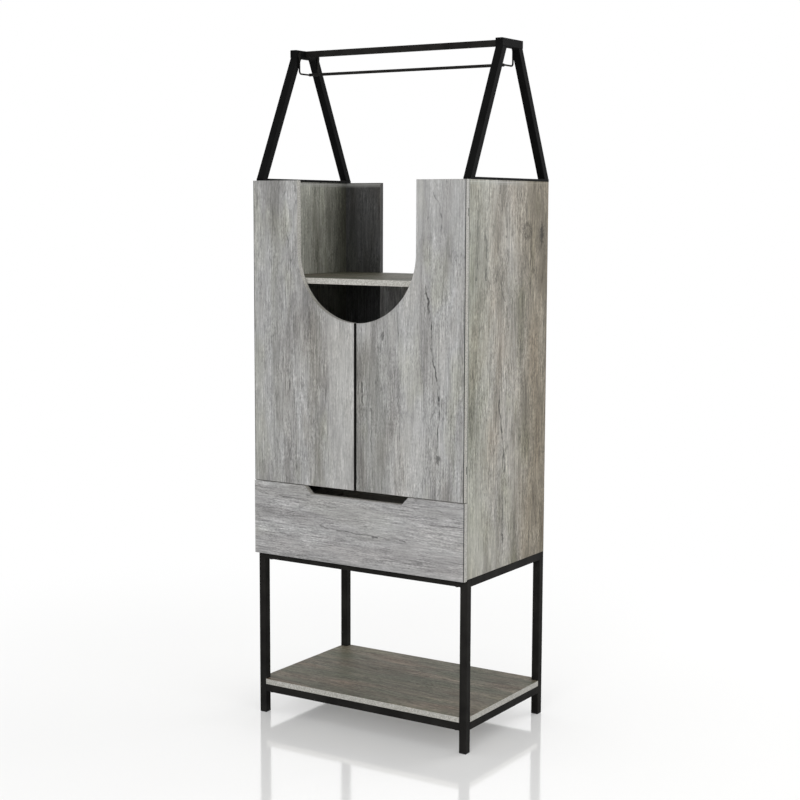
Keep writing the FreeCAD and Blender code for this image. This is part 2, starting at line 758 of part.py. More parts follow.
slide_z = f"({box_low} + slide_axis)"
rail_front = f"({carcass_front} + slide_setback)"
rail_rear = f"({box_rear} - slide_rear_room)"
lip_inner = "(slide_height / 2 - slide_steel)"
ball_height = f"({lip_inner} - slide_play - ball_radius)"
runner_height = f"({ball_height} - ball_radius - slide_play)"
cage_front = f"({rail_front} + cage_setback)"
cages = []
for side, sign in SIDES:

    def slide_corner(reach, height):
        return (f"{sign} * ({inner} - ({reach}))", f"{slide_z} + {height}")

    def mirrored(upper_half):
        lower_half = [(reach, f"-{height}") for reach, height in reversed(upper_half)]
        return [slide_corner(reach, height) for reach, height in upper_half + lower_half]

    rail = part(f"{side}_slide_rail")
    add(
        rail, "XZ",
        [mirrored([
            ("slide_steel", lip_inner), ("slide_lip - slide_steel", lip_inner),
            ("slide_lip - slide_steel", f"({lip_inner} - slide_return)"),
            ("slide_lip", f"({lip_inner} - slide_return)"),
            ("slide_lip", "(slide_height / 2)"), ("0", "(slide_height / 2)"),
        ])],
        rail_front, rail_rear
    )
    keep(rail)
    runner = part(f"{side}_slide_runner")
    lip_start = "slide_thickness - runner_lip"
    add(
        runner, "XZ",
        [mirrored([
            ("slide_thickness - slide_steel", f"({runner_height} - slide_steel)"),
            (lip_start, f"({runner_height} - slide_steel)"),
            (lip_start, runner_height), ("slide_thickness", runner_height),
        ])],
        rail_front, rail_rear
    )
    keep(runner)
    cage = part(f"{side}_ball_cage")
    cage_top = f"({ball_height} + cage_steel / 2)"
    cage_under = f"({ball_height} - cage_steel / 2)"
    add(
        cage, "XZ",
        [mirrored([
            ("cage_offset + cage_steel", cage_under), ("cage_reach", cage_under),
            ("cage_reach", cage_top), ("cage_offset", cage_top),
        ])],
        cage_front, f"{cage_front} + cage_length"
    )
    ball_x = f"{sign} * ({inner} - ball_offset)"
    cages.append(cage)
    for number in range(BALLS_PER_ROW):
        ball_y = f"({cage_front} + cage_length / 2 + {number - (BALLS_PER_ROW - 1) / 2} * ball_spacing)"
        cut(
            cage, "XY", [(ball_x, ball_y, "ball_radius + ball_play")],
            f"{slide_z} - slide_height / 2", f"{slide_z} + slide_height / 2"
        )
        for row, row_sign in (("top", "1"), ("low", "-1")):
            cages.append(solid_at(
                "Sphere", f"{side}_{row}_ball_{number + 1}", {"Radius": "ball_radius"},
                ball_x, ball_y, f"{slide_z} + {row_sign} * {ball_height}", UPRIGHT
            ))
group("slide_ball_cages", cages)

doc.recompute()

for item in doc.Objects:
    if "Invalid" in item.State or "Error" in item.State:
        raise RuntimeError(f"{item.Label} failed: {item.State}")
for node in nodes:
    if node.Shape.isNull() or not node.Shape.isValid():
        raise RuntimeError(f"{node.Label} has no valid shape")

os.makedirs("parts", exist_ok=True)
for node in nodes:
    node.Shape.exportStep(f"parts/{node.Label}.step")
print(len(nodes), "nodes written")
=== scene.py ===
import json
import math
from functools import partial
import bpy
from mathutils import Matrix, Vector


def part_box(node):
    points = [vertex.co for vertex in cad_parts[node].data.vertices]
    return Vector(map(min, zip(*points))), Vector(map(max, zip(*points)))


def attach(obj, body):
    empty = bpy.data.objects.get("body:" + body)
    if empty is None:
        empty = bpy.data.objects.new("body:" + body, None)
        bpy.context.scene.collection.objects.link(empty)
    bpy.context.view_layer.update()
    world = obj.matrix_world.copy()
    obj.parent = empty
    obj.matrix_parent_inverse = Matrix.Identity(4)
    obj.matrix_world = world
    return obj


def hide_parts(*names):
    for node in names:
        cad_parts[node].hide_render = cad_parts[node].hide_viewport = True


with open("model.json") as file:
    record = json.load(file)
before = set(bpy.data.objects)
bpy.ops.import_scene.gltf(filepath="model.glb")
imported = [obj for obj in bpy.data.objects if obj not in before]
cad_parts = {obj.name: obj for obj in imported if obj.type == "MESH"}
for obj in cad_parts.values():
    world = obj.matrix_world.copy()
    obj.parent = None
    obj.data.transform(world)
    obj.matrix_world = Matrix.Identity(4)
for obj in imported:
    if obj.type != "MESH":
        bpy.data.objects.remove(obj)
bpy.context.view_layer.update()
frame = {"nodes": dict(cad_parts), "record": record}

from types import SimpleNamespace

import bpy
import numpy as np
from mathutils import Matrix, Vector

nodes = frame["nodes"]
scene = bpy.context.scene
mm = 0.001
axes = "XYZ"
sides = (("left", -1), ("right", 1))
white = (1.0, 1.0, 1.0, 1.0)
print("frame loaded:", len(nodes), "nodes")


def inMm(nodeName):  # the low and the high corner of a CAD node's box
    return [np.array(corner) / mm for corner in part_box(nodeName)]


def linear(hexText):  # sRGB hex to linear colour
    parts = [int(hexText[i:i + 2], 16) / 255 for i in (1, 3, 5)]
    return tuple(c / 12.92 if c <= 0.04045 else ((c + 0.055) / 1.055) ** 2.4 for c in parts) + (1.0,)


def put(tree, kind, inputs=(), stops=(), **settings):  # adds one node with its settings, stops and links
    node = tree.nodes.new("ShaderNode" + kind)
    for name, value in settings.items():
        setattr(node, name, value)
    if stops:  # a ramp's stops are (place, hex), a curve's are (place, height)
        marks = node.color_ramp.elements if kind == "ValToRGB" else node.mapping.curves[0].points
        while len(marks) < len(stops):
            marks.new(*([0.5] if kind == "ValToRGB" else [0.5, 0.5]))
        for mark, (where, what) in zip(marks, stops):
            if kind == "ValToRGB":
                mark.position, mark.color = where, linear(what)
            else:
                mark.location = where, what
        if kind == "FloatCurve":
            node.mapping.update()
    free = [socket for socket in node.inputs if socket.enabled]
    for key, value in inputs.items() if isinstance(inputs, dict) else enumerate(inputs):
        socket = node.inputs[key] if isinstance(key, str) else free[key]
        if isinstance(value, bpy.types.Node):
            value = next(out for out in value.outputs if out.enabled)
        if isinstance(value, bpy.types.NodeSocket):
            tree.links.new(value, socket)
        else:
            socket.default_value = value
    return node


def newMaterial(name):  # an empty material, and put for its nodes
    material = bpy.data.materials.new(name)
    material.use_nodes = True
    material.node_tree.nodes.clear()
    return material, partial(put, material.node_tree)


def wear(nodeName, material):  # gives a CAD node its material
    mesh = nodes[nodeName].data
    mesh.materials.clear()
    mesh.materials.append(material)


# Camera: the photograph's viewing angle, without shift
view = {
    "azimuth": 32.54, "down": 6.80, "roll": 0.2,  # degrees
    "aside": -4.8 * mm, "depth": 8.75 * mm, "height": 864.74 * mm,  # the point that it looks at
    "distance": 4297.59 * mm, "lens": 71.87, "sensor": 36, "clip": (0.05, 200),
}


def makeCamera():
    azimuth, down, roll = (math.radians(view[key]) for key in ("azimuth", "down", "roll"))
    level = Vector((math.cos(azimuth), math.sin(azimuth), 0))
    ahead = Vector((-math.sin(azimuth) * math.cos(down), math.cos(azimuth) * math.cos(down), -math.sin(down)))
    up = level.cross(ahead)
    right = math.cos(roll) * level + math.sin(roll) * up
    top = -math.sin(roll) * level + math.cos(roll) * up
    target = level * view["aside"] + Vector((0, view["depth"], view["height"]))
    data = bpy.data.cameras.new("camera")
    data.lens, data.sensor_width = view["lens"], view["sensor"]
    data.clip_start, data.clip_end = view["clip"]
    camera = bpy.data.objects.new("camera", data)
    turn = Matrix((right, top, -ahead)).transposed()
    camera.matrix_world = Matrix.Translation(target - ahead * view["distance"]) @ turn.to_4x4()
    scene.collection.objects.link(camera)
    scene.camera = camera


makeCamera()
print("camera placed")


# Grey oak laminate: a printed and embossed decor paper on chipboard. The eye gets long soft bands of grey,
# green-grey and brown-grey, thin straight streaks, rough patches of short chips, and a few dark drying cracks
# along the grain. Each layer of the print is noise with a size in mm across and along the grain, and the span
# of the noise that shows. Fibres and chips are under 1 mm wide on such a board, and are drawn wider so that
# they show.
grain = {
    "band": {"size": (46, 300)},
    "tint": {"size": (80, 260)},
    "streak": {"size": (3.4, 90), "span": (0.28, 0.72), "depth": 0.26, "sway": 2.0},
    "fibre": {"size": (2.4, 34), "span": (0.3, 0.7), "depth": 0.36},
    "chip": {"size": (2.6, 8), "span": (0.3, 0.7), "depth": 0.30},
    "patch": {"size": (34, 90), "span": (0.40, 0.60), "least": 0.45},    # smooth patches keep less fine grain
    "vein": {"size": (12, 150), "half": 0.016, "depth": 0.45},
    "gate": {"size": (50, 110), "span": (0.50, 0.62)},                   # where the veins show
    "fleck": {"size": (3.0, 30), "span": (0.63, 0.72), "depth": 0.5},
    "cluster": {"size": (55, 120), "span": (0.42, 0.62), "least": 0.1},  # where the flecks gather
    "gap": {"size": (24, 28), "span": (0.45, 0.53), "least": 0.08},      # breaks in a drying crack
    "jog": {"size": (16, 26), "sway": 4.0},                              # side steps of a drying crack
}
decor = {
    "crackCore": 0.2,                                       # share of a crack's width that is fully dark
    "knotRim": (0.35, 1.0), "ragged": 0.5,                  # as shares of a knot's size
    "speck": 3.2,                                           # speckle of the edge band, in mm
    "relief": 0.5, "reliefStrength": 0.25,                  # embossing, depth in mm
    "toneSpan": (0.7, 1.2), "roughness": (0.62, 0.48),      # dark grain is duller than pale grain
    "specular": 0.3,
}
mostNoise = (0.25, 0.75)       # the span that holds nearly all of a noise
seedStep = (7.31, 3.17, 5.83)  # how far a board's seed moves its noise
drawStep = (3.7, 1.9, 2.3)     # how far the number of a draw moves it
faceTilt = (0.6, 0.7)          # how squarely a face looks along an axis where a patch starts and is full


def boardSpace(add, look):  # places and directions on one board, shared by the layers of its print
    spot = add("TexCoord")
    place = add("SeparateXYZ", [spot.outputs["Object"]])
    run = axes.index(look["grain"])
    return SimpleNamespace(
        add=add, look=look, run=run, place=place, here=spot.outputs["Object"],
        facing=add("SeparateXYZ", [spot.outputs["Normal"]]),
        along=place.outputs[run], across=place.outputs[axes.index(look["across"])],
    )


def layer(space, key, draw, **extra):  # one layer's noise, drawn out along the board
    width, length = grain[key]["size"]
    scale = [1 / (width * space.look.get("coarse", 1) * mm)] * 3
    scale[space.run] = 1 / (length * mm)
    start = [space.look["seed"] * bySeed + draw * byDraw for bySeed, byDraw in zip(seedStep, drawStep)]
    stretched = space.add("VectorMath", [space.here, scale, start], operation="MULTIPLY_ADD")
    return space.add("TexNoise", {"Vector": stretched, "Scale": 1.0, "Detail": 2.0, **extra})


def spread(space, key, draw, low, high, detail=2.0, **settings):  # the layer, from low to high over its span
    noise = layer(space, key, draw, Detail=detail)
    return space.add("MapRange", [noise, *grain[key]["span"], low, high], **settings)


def fineTone(space):  # streaks, and the fibres and chips of the rough patches, as a factor about 1
    add, contrast = space.add, space.look.get("contrast", 1)
    depth = grain["streak"]["depth"] * contrast
    tone = spread(space, "streak", 3, 1 - depth, 1 + depth, detail=3.0)
    rough = spread(space, "patch", 10, grain["patch"]["least"], 1.0)
    for key, draw in (("fibre", 4), ("chip", 11)):
        depth = grain[key]["depth"] * contrast
        mark = add("Math", [spread(space, key, draw, -depth, depth), rough, 1.0], operation="MULTIPLY_ADD")
        tone = add("Math", [tone, mark], operation="MULTIPLY")
    return tone


def veins(space):  # thin veins and clustered flecks, as a share of darkness
    add = space.add
    fleck = spread(space, "fleck", 8, 0, grain["fleck"]["depth"])
    cluster = spread(space, "cluster", 7, grain["cluster"]["least"], 1)
    fleck = add("Math", [fleck, cluster], operation="MULTIPLY")
    away = add("Math", [layer(space, "vein", 5, Distortion=0.5), 0.5], operation="SUBTRACT")
    away = add("Math", [away], operation="ABSOLUTE")
    vein = add("MapRange", [away, 0, grain["vein"]["half"], 1, 0], interpolation_type="SMOOTHSTEP")
    gate = spread(space, "gate", 6, 0, grain["vein"]["depth"], interpolation_type="SMOOTHSTEP")
    vein = add("Math", [vein, gate], operation="MULTIPLY")
    return add("Math", [vein, fleck], operation="MAXIMUM")


def dryingCracks(space, dark):  # each crack follows its places (along, across) in mm, wanders and is broken
    add, wander = space.add, space.across
    for key, draw in (("streak", 20), ("jog", 21)):
        sway = grain[key]["sway"]
        wobble = add("MapRange", [layer(space, key, draw), *mostNoise, -sway * mm, sway * mm])
        wander = add("Math", [wander, wobble], operation="ADD")
    gap = layer(space, "gap", 40)
    for line in space.look.get("cracks", []):
        path = [(along * mm, across * mm) for along, across in line["path"]]
        low, high = min(along for along, across in path), max(along for along, across in path)
        left = min(across for along, across in path)
        right = max(left + mm, *[across for along, across in path])
        bends = [((along - low) / (high - low), (across - left) / (right - left)) for along, across in path]
        share = add("MapRange", [space.along, low, high, 0, 1])
        curve = add("FloatCurve", {"Value": share}, stops=sorted(bends))
        course = add("MapRange", [curve, 0, 1, left, right])
        off = add("Math", [wander, course], operation="SUBTRACT")
        off = add("Math", [off], operation="ABSOLUTE")
        half = line["half"] * mm
        cut = add("MapRange", [off, decor["crackCore"] * half, half, line["depth"], 0])
        inside = add("Math", [share, 0.5, 0.499], operation="COMPARE")  # only between the crack's two ends
        cut = add("Math", [cut, inside], operation="MULTIPLY")
        rest = line.get("rest", grain["gap"]["least"])
        broken = add("MapRange", [gap, *grain["gap"]["span"], rest, 1])
        cut = add("Math", [cut, broken], operation="MULTIPLY")
        dark = add("Math", [dark, cut], operation="MAXIMUM")
    return dark


def knots(space, dark):  # a dark oval spot with a ragged rim, or a dark ring round a pale one
    add = space.add
    ragged = add("MapRange", [layer(space, "chip", 9), *mostNoise, -decor["ragged"], decor["ragged"]])
    for knot in space.look.get("knots", []):
        squares = []
        for value, centre, size in zip((space.along, space.across), knot["at"], knot["size"]):
            step = add("Math", [value, centre * mm], operation="SUBTRACT")
            step = add("Math", [step, size * mm], operation="DIVIDE")
            squares.append(add("Math", [step, step], operation="MULTIPLY"))
        reach = add("Math", squares, operation="ADD")
        reach = add("Math", [reach, 0.5], operation="POWER")
        reach = add("Math", [reach, ragged], operation="ADD")
        if "ring" in knot:
            reach = add("Math", [reach, knot["ring"]], operation="SUBTRACT")
            reach = add("Math", [reach], operation="ABSOLUTE")
        near, far = knot.get("soft", decor["knotRim"])
        spot = add("MapRange", [reach, near, far, knot["depth"], 0], interpolation_type="SMOOTHSTEP")
        dark = add("Math", [dark, spot], operation="MAXIMUM")
    return dark


def patched(space, colour):  # faces, edges or strips of the board with another tone
    add = space.add
    for patch in space.look.get("patches", []):
        mask = patch["amount"]
        for source, axis, start, full in patch["where"]:
            part, unit = (space.facing, 1) if source == "normal" else (space.place, mm)
            step = add("MapRange", [part.outputs[axes.index(axis)], start * unit, full * unit, 0, 1])
            mask = add("Math", [step, mask], operation="MULTIPLY")
        other = linear(patch["colour"])
        colour = add("Mix", [mask, colour, other], data_type="RGBA", blend_type=patch["blend"])
    return colour


def laminate(name, look):
    material, add = newMaterial(name)
    space = boardSpace(add, look)
    band = add("ValToRGB", [layer(space, "band", 1, Detail=3.0, Distortion=0.35)], stops=look["tones"])
    tint = add("ValToRGB", [layer(space, "tint", 2)], stops=look["tints"])
    colour = add("Mix", [1.0, band, tint], data_type="RGBA", blend_type="MULTIPLY")
    dark = knots(space, dryingCracks(space, veins(space)))
    light = add("Math", [1.0, dark], operation="SUBTRACT")
    tone = add("Math", [fineTone(space), light], operation="MULTIPLY")
    colour = add("VectorMath", [colour, tone], operation="SCALE")

    flat = add("Math", [space.facing.outputs[axes.index(look["face"])]], operation="ABSOLUTE")
    onFace = add("Math", [flat, faceTilt[0]], operation="GREATER_THAN")
    speck = add("TexNoise", {"Vector": space.here, "Scale": 1 / (decor["speck"] * mm), "Detail": 2.0})
    edge = add("ValToRGB", [speck], stops=look["edge"])
    colour = patched(space, add("Mix", [onFace, edge, colour], data_type="RGBA"))

    depth, strength = decor["relief"] * mm, decor["reliefStrength"]
    shader = add("BsdfPrincipled", {
        "Base Color": colour, "Specular IOR Level": decor["specular"],
        "Roughness": add("MapRange", [tone, *decor["toneSpan"], *decor["roughness"]]),
        "Normal": add("Bump", {"Height": tone, "Strength": strength, "Distance": depth}),
    })
    add("OutputMaterial", [shader])
    return material


frontTones = [(0.30, "#868584"), (0.42, "#9a9998"), (0.52, "#a6a6a5"), (0.62, "#b0b0b0"), (0.74, "#9c9b99")]
frontTints = [(0.34, "#fdfdf4"), (0.46, "#ffffff"), (0.58, "#fffefc"), (0.70, "#fdfbf7")]
drawerTones = [(0.30, "#8e8d8d"), (0.42, "#9e9d9d"), (0.52, "#a7a6a6"), (0.62, "#afafaf"), (0.74, "#a09f9e")]
drawerTints = [(0.34, "#fdfdfa"), (0.50, "#ffffff"), (0.70, "#fdfbfa")]
sideTones = [(0.28, "#827f77"), (0.40, "#96938c"), (0.50, "#a6a39d"), (0.60, "#b2afa9"), (0.72, "#938f88")]
sideTints = [(0.30, "#f7f9ee"), (0.45, "#ffffff"), (0.58, "#fdfbf7"), (0.70, "#f9f3ec")]
wallTints = [(0.30, "#f3f9ec"), (0.45, "#fbfff8"), (0.58, "#f9fdf6"), (0.70, "#f4f9f0")]
insideTones = [(0.28, "#6f6d64"), (0.42, "#868178"), (0.54, "#979185"), (0.66, "#a59f93"), (0.78, "#827d72")]
shelfTones = [(0.28, "#5a5a4e"), (0.42, "#68665b"), (0.54, "#726c61"), (0.66, "#7f766a"), (0.78, "#66625a")]
shelfTints = [(0.34, "#eef4e4"), (0.46, "#fbfdf4"), (0.56, "#fff9f2"), (0.66, "#fff0e6")]
paleEdge = [(0.30, "#a19f98"), (0.48, "#b4b2ab"), (0.58, "#c2c0ba"), (0.70, "#d0cec8")]
greyEdge = [(0.30, "#9c9b97"), (0.48, "#a9a8a5"), (0.60, "#b4b3b0"), (0.72, "#bdbcb9")]
paintedInsideShade = "#b4b5ad"  # painted shade: faces that look into the cabinet are darkened

# Bands and lines along the boards' edges: distances in mm from the edge, where each starts and is full
edgeLines = {"glue": (2.9, 2.1), "meeting": (4.5, 2.5), "lap": (13, 11), "low": (7, 6), "high": (3.5, 4.5)}


def looking(axis, sign=1):  # the faces that look along an axis
    return "normal", axis, faceTilt[0] * sign, faceTilt[1] * sign


def between(axis, start, full):  # a stretch along an axis, in mm, over which a patch grows to its full tone
    return "place", axis, start, full


def fromEdge(nodeName, axis, sign, key):  # such a stretch, by its distances from one end of a board
    low, high = inMm(nodeName)
    end = (high if sign > 0 else low)[axes.index(axis)]
    start, full = (end - sign * distance for distance in edgeLines[key])
    return between(axis, start, full)


def shade(colour, *where):
    return {"where": where, "colour": colour, "amount": 1.0, "blend": "MULTIPLY"}


def paint(colour, amount, *where):
    return {"where": where, "colour": colour, "amount": amount, "blend": "MIX"}


def glueLine(nodeName, sign):  # between the front face and the edge band at its left or right
    return shade("#6e6e6c", fromEdge(nodeName, "X", sign, "glue"), looking("Y", -1))


def meetingEdgeShade(nodeName, sign):  # painted shade on the edges where the two doors meet, in the gap between them
    return shade("#3c3c3a", looking("X", sign), fromEdge(nodeName, "X", sign, "meeting"))


# A paler band along the carcass's top edges, with a pale line in it
fromTop = partial(fromEdge, "left_side_panel", "Z", 1)
topBand = paint("#b4b4b0", 0.28, fromTop("lap"))
topLine = paint("#c4c4c0", 0.5, fromTop("low"), fromTop("high"))

frontBoard = {
    "face": "Y", "grain": "Z", "across": "X", "tones": frontTones, "tints": frontTints, "edge": paleEdge,
}
rearBoard = {**frontBoard, "tones": sideTones, "tints": sideTints, "edge": greyEdge}
sideBoard = {**rearBoard, "face": "X", "across": "Y"}
levelBoard = {**sideBoard, "face": "Z", "grain": "X", "tones": insideTones}
shelfBoard = {**levelBoard, "contrast": 1.2, "tones": shelfTones, "tints": shelfTints, "edge": paleEdge}

boards = {
    "left_door": {
        **frontBoard, "seed": 2.0,
        "cracks": [
            {"half": 2.2, "depth": 0.47, "path": [(1380, -262), (1330, -258), (1290, -254), (1240, -259)]},
        ],
        "patches": [
            shade(paintedInsideShade, looking("Y")),
            paint("#a6a6a5", 0.2, between("X", -215, -245)),  # a calm outer part, then planks
            paint("#e0e0dd", 0.24, between("X", -95, -78), between("Z", 1180, 1100)),
            shade("#e8e7e4", between("X", -155, -140), between("X", -98, -113), between("Z", 1180, 1100)),
            shade("#f0f0ee", between("X", -272, -260), between("X", -235, -247)),
            meetingEdgeShade("left_door", 1), glueLine("left_door", -1),
        ],
    },
    "right_door": {
        **frontBoard, "seed": 5.0,
        "cracks": [
            {"half": 2.8, "depth": 0.72, "rest": 0.35, "path": [
                (1416, 234), (1393, 243), (1375, 252), (1333, 255), (1293, 255),
            ]},
            {"half": 3.0, "depth": 0.81, "rest": 0.3, "path": [
                (1190, 210), (1167, 213), (1139, 220), (1110, 223), (1081, 226), (1047, 228), (1008, 231),
                (968, 242), (923, 250), (879, 253), (846, 248), (783, 250), (765, 241),
            ]},
            {"half": 2.4, "depth": 0.68, "path": [(957, 20), (939, 20), (906, 21.6), (872, 21.6)]},
            {"half": 2.2, "depth": 0.54, "path": [(870, 48), (859, 49.7), (789, 49.7), (740, 47)]},
        ],
        "knots": [
            {"at": (753, 250), "size": (15, 8), "depth": 0.62},
            {"at": (1056, 84), "size": (16, 5), "depth": 0.55},
        ],
        "patches": [
            shade(paintedInsideShade, looking("Y")),
            paint("#bdbdbd", 0.3, between("Z", 1150, 1400)),  # paler upwards, then planks
            shade("#e3e3e0", between("X", 118, 80), between("Z", 1060, 1000)),
            paint("#e0e0de", 0.15, between("X", 138, 152), between("X", 208, 192)),
            meetingEdgeShade("right_door", -1), glueLine("right_door", 1),
        ],
    },
    "drawer_front": {
        **frontBoard, "grain": "X", "across": "Z", "seed": 9.0, "tones": drawerTones, "tints": drawerTints,
        "cracks": [
            {"half": 2.4, "depth": 0.57, "rest": 0.45, "path": [(-312, 616), (-250, 613), (-180, 609)]},
            {"half": 2.8, "depth": 0.78, "rest": 0.5, "path": [
                (-113, 545), (-52, 540), (53, 536), (155, 534),
            ]},
            {"half": 2.2, "depth": 0.5, "rest": 0.5, "path": [(23, 472), (110, 476), (208, 483)]},
            {"half": 2.4, "depth": 0.57, "rest": 0.45, "path": [(229, 581), (280, 585), (322, 587)]},
        ],
        "patches": [
            shade(paintedInsideShade, looking("Y")),
            paint("#bebebe", 0.12, between("X", -150, 50)),  # paler to the right
            glueLine("drawer_front", 1),
        ],
    },
    "right_side_panel": {
        **sideBoard, "seed": 14.0, "contrast": 1.15, "coarse": 1.35,
        "cracks": [
            {"half": 4.2, "depth": 0.70, "rest": 0.4, "path": [
                (906, -44), (884, -44), (840, -36), (790, -24), (725, -14), (700, -13),
            ]},
            {"half": 4.4, "depth": 0.74, "rest": 0.4, "path": [(610, -17), (570, -19), (535, -20)]},
            {"half": 4.6, "depth": 0.60, "rest": 0.3, "path": [
                (1423, -159), (1356, -159), (1276, -161), (1199, -165),
            ]},
            {"half": 4.2, "depth": 0.60, "rest": 0.3, "path": [(1303, -122), (1288, -117), (1198, -117)]},
            {"half": 4.6, "depth": 0.52, "rest": 0.3, "path": [(1399, -14), (1303, -13)]},
            {"half": 5.0, "depth": 0.58, "rest": 0.3, "path": [
                (1326, 120), (1270, 121), (1221, 119), (1180, 117), (1141, 116),
            ]},
            {"half": 4.6, "depth": 0.46, "path": [(1356, 57), (1307, 57)]},
            {"half": 4.2, "depth": 0.48, "path": [(1285, -42), (1212, -43), (1140, -15)]},
        ],
        "knots": [
            {"at": (1311, 179), "size": (36, 14), "depth": 0.76},
            {"at": (527, -17), "size": (18, 8), "depth": 0.61},
            {"at": (1265, -6), "size": (12, 8), "depth": 0.4},
            {"at": (1305, -124), "size": (12, 7), "depth": 0.5},
            {"at": (1320, 98), "size": (19, 22), "depth": 0.52, "ring": 0.9, "soft": (0.1, 0.4)},
            {"at": (1215, 133), "size": (10, 12), "depth": 0.4},
        ],
        "patches": [
            shade(paintedInsideShade, looking("X", -1)), topBand, topLine,
            shade("#d9d2c5", between("Y", 0, 130)),     # browner towards the rear
            shade("#f8fdf6", between("Y", -60, -180)),  # greener towards the front
            shade("#e2ded6", between("Y", 20, 120), between("Z", 1100, 1300)),
            paint("#cbcbc2", 0.16, between("Y", -40, -140), between("Z", 1120, 1280)),
            paint("#cbc9c2", 0.25, between("Y", -40, -140), between("Z", 800, 680)),
        ],
    },
    "left_side_panel": {
        **sideBoard, "seed": 21.0, "contrast": 1.3, "tints": wallTints,
        "patches": [
            shade("#8c8d87", looking("X"), between("Y", 40, 190)),  # painted shade: darker towards the rear of the inner face
            topBand, topLine,
            # painted light: paler towards the front of the inner face
            paint("#e8ebe2", 0.1, looking("X"), between("Y", 60, 10)),
        ],
    },
    "lower_shelf": {**shelfBoard, "seed": 27.0},
    # painted shade: the upper shelf's top is darkened
    "upper_shelf": {**shelfBoard, "seed": 33.0, "patches": [shade("#d6dad7", looking("Z"))]},
    "bottom_panel": {**levelBoard, "seed": 38.0},
    "divider_panel": {**levelBoard, "seed": 43.0, "patches": [shade(paintedInsideShade, looking("Z", -1))]},
    # painted light: the back panel takes the paler door print, for its face that is lit through the doors'
    # cut-out below the shelf
    "back_panel": {**rearBoard, "seed": 57.0, "tones": frontTones},
}
for nodeName, sign, seed in (("left_back_stile", 1, 48.0), ("right_back_stile", -1, 52.0)):
    boards[nodeName] = {
        **rearBoard, "seed": seed, "contrast": 1.3,
        "patches": [
            # painted shade on the stiles' front faces
            shade("#777a80", looking("Y", -1)), topBand, topLine,
            # painted shade on the stiles' inner edges
            shade("#454543", looking("X", sign)),
        ],
    }
for nodeName, look in boards.items():
    wear(nodeName, laminate("greyOak_" + nodeName, look))

# Drawer box boards: pale grey foil on thin board, with hardly any grain
drawerBoard = {
    "tones": [(0.3, "#a39f97"), (0.5, "#aeaaa2"), (0.7, "#b8b4ac")],
    "tints": [(0.4, "#ffffff"), (0.6, "#fbfaf5")],
    "edge": greyEdge, "contrast": 0.4,
}
drawerBox = {
    "drawer_left_side": {**drawerBoard, "grain": "Y", "across": "Z", "face": "X", "seed": 61.0},
    "drawer_right_side": {**drawerBoard, "grain": "Y", "across": "Z", "face": "X", "seed": 66.0},
    "drawer_back": {**drawerBoard, "grain": "X", "across": "Z", "face": "Y", "seed": 71.0},
    "drawer_bottom": {**drawerBoard, "grain": "X", "across": "Y", "face": "Z", "seed": 76.0},
}
for nodeName, look in drawerBox.items():
    wear(nodeName, laminate("drawerBoard_" + nodeName, look))
print("boards dressed:", len(boards) + len(drawerBox))


# Black powder coat on steel: a baked polyester skin, nearly black, with a fine orange-peel surface that
# breaks its dull reflections. The peel is about 0.8 mm and is drawn at 2.5 mm so that it shows. The top
# frames get a darker copy of the coat: painted shade that offsets the stronger lamp light at their height.
standCoat = {
    "dark": "#171615", "light": "#242321", "cloud": 60, "peel": 2.5, "relief": 0.3, "reliefStrength": 0.12,
    "roughness": (0.64, 0.76), "specular": 0.10,
}
# painted shade: the darker copy of the coat for the top frames
shadedTopCoat = {**standCoat, "dark": "#080808", "light": "#101010", "specular": 0.06}
roughSpan = (0.3, 0.7)  # span of the noise over which the roughness grows


def darkToLight(look):  # stops over the middle of a noise
    return [(0.35, look["dark"]), (0.65, look["light"])]


def powderCoat(name, look):
    material, add = newMaterial(name)
    here = add("TexCoord").outputs["Object"]
    peel = add("TexNoise", {"Vector": here, "Scale": 1 / (look["peel"] * mm), "Detail": 2.0})
    cloud = add("TexNoise", {"Vector": here, "Scale": 1 / (look["cloud"] * mm), "Detail": 2.0})
    depth, strength = look["relief"] * mm, look["reliefStrength"]
    shader = add("BsdfPrincipled", {
        "Base Color": add("ValToRGB", [cloud], stops=darkToLight(look)),
        "Roughness": add("MapRange", [peel, *roughSpan, *look["roughness"]]),
        "Normal": add("Bump", {"Height": peel, "Strength": strength, "Distance": depth}),
        "Specular IOR Level": look["specular"],
    })
    add("OutputMaterial", [shader])
    return material


# Zinc-plated steel: stamped sheet with a bluish-white bright plating that shows faint rolling lines
zinc = {"dark": "#8f9294", "light": "#b9bcbe", "line": (0.9, 30), "roughness": (0.28, 0.42)}


def zincPlate():
    material, add = newMaterial("zincPlatedSteel")
    width, length = zinc["line"]
    scale = (1 / (width * mm), 1 / (length * mm), 1 / (width * mm))
    stretched = add("VectorMath", [add("TexCoord").outputs["Object"], scale], operation="MULTIPLY")
    lines = add("TexNoise", {"Vector": stretched, "Scale": 1.0, "Detail": 2.0})
    shader = add("BsdfPrincipled", {
        "Base Color": add("ValToRGB", [lines], stops=darkToLight(zinc)),
        "Roughness": add("MapRange", [lines, *roughSpan, *zinc["roughness"]]),
        "Metallic": 1.0,
    })
    add("OutputMaterial", [shader])
    return material


# Black moulded plastic: polyethylene feet and magnet cases with a fine spark-eroded grain
plastic = {
    "dark": "#101011", "light": "#1b1b1c", "grit": 1.6, "relief": 0.2, "reliefStrength": 0.2,
    "roughness": 0.6, "specular": 0.3,
}


def mouldedPlastic():
    material, add = newMaterial("blackMouldedPlastic")
    here = add("TexCoord").outputs["Object"]
    grit = add("TexNoise", {"Vector": here, "Scale": 1 / (plastic["grit"] * mm), "Detail": 2.0})
    depth, strength = plastic["relief"] * mm, plastic["reliefStrength"]
    shader = add("BsdfPrincipled", {
        "Base Color": add("ValToRGB", [grit], stops=darkToLight(plastic)),
        "Normal": add("Bump", {"Height": grit, "Strength": strength, "Distance": depth}),
        "Roughness": plastic["roughness"], "Specular IOR Level": plastic["specular"],
    })
    add("OutputMaterial", [shader])
    return material


